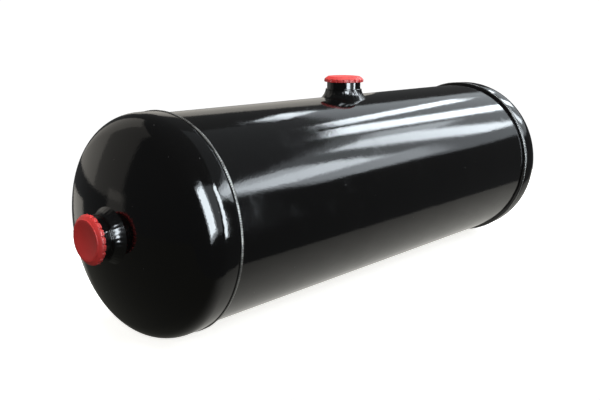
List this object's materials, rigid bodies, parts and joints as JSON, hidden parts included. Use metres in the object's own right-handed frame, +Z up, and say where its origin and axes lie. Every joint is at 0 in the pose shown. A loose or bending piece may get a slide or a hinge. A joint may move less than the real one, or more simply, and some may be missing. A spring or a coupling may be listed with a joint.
{
  "type": "hydraulic reservoir",
  "caption": "Horizontal cylindrical steel tank with dished heads, welded threaded ports at both ends and on top, each closed by a toothed screw plug, and baffles inside.",
  "frame": {"origin": "on the surface that the tank rests on, under the middle of its length and width", "axes": "+X along the barrel, towards the right head; +Z up, out of the top port; +Y to the back, where the seam weld is"},
  "size_m": [0.8398, 0.252, 0.2765],
  "materials": {
    "black_paint": "high-gloss black stove enamel",
    "bare_steel": "as-rolled sheet, oiled",
    "red_plastic": "moulded, satin",
    "black_rubber": "matt"
  },
  "bodies": {
    "tank": {"barrel": "black_paint", "barrel_seam_weld": "black_paint", "left_head": "black_paint", "right_head": "black_paint", "left_girth_weld": "black_paint", "right_girth_weld": "black_paint", "left_port_socket": "black_paint", "left_port_weld": "black_paint", "right_port_socket": "black_paint", "right_port_weld": "black_paint", "top_port_socket": "black_paint", "top_port_weld": "black_paint", "left_baffle": "bare_steel", "left_baffle_tack_1": "bare_steel", "left_baffle_tack_2": "bare_steel", "left_baffle_tack_3": "bare_steel", "left_baffle_tack_4": "bare_steel", "right_baffle": "bare_steel", "right_baffle_tack_1": "bare_steel", "right_baffle_tack_2": "bare_steel", "right_baffle_tack_3": "bare_steel", "right_baffle_tack_4": "bare_steel"},
    "left_seal": {"left_plug_seal": "black_rubber"},
    "left_plug": {"left_plug": "red_plastic"},
    "right_seal": {"right_plug_seal": "black_rubber"},
    "right_plug": {"right_plug": "red_plastic"},
    "top_seal": {"top_plug_seal": "black_rubber"},
    "top_plug": {"top_plug": "red_plastic"}
  },
  "joints": [
    {"name": "left_plug_travel", "type": "slide", "parent": "tank", "child": "left_seal", "axis": [-1, 0, 0], "range_m": [0, 0.014]},
    {"name": "left_plug_turn", "type": "hinge", "parent": "left_seal", "child": "left_plug", "pos_m": [-0.407, 0, 0.12603], "axis": [-1, 0, 0], "range_deg": [0, 2190]},
    {"name": "right_plug_travel", "type": "slide", "parent": "tank", "child": "right_seal", "axis": [1, 0, 0], "range_m": [0, 0.014]},
    {"name": "right_plug_turn", "type": "hinge", "parent": "right_seal", "child": "right_plug", "pos_m": [0.407, 0, 0.12603], "axis": [1, 0, 0], "range_deg": [0, 2190]},
    {"name": "top_plug_travel", "type": "slide", "parent": "tank", "child": "top_seal", "axis": [0, 0, 1], "range_m": [0, 0.014]},
    {"name": "top_plug_turn", "type": "hinge", "parent": "top_seal", "child": "top_plug", "pos_m": [0, 0, 0.265], "axis": [0, 0, 1], "range_deg": [0, 2190]}
  ],
  "couplings": [
    {"joint": "left_plug_turn", "follows": "left_plug_travel", "rad_per_m": 2721.2},
    {"joint": "right_plug_turn", "follows": "right_plug_travel", "rad_per_m": 2721.2},
    {"joint": "top_plug_turn", "follows": "top_plug_travel", "rad_per_m": 2721.2}
  ]
}
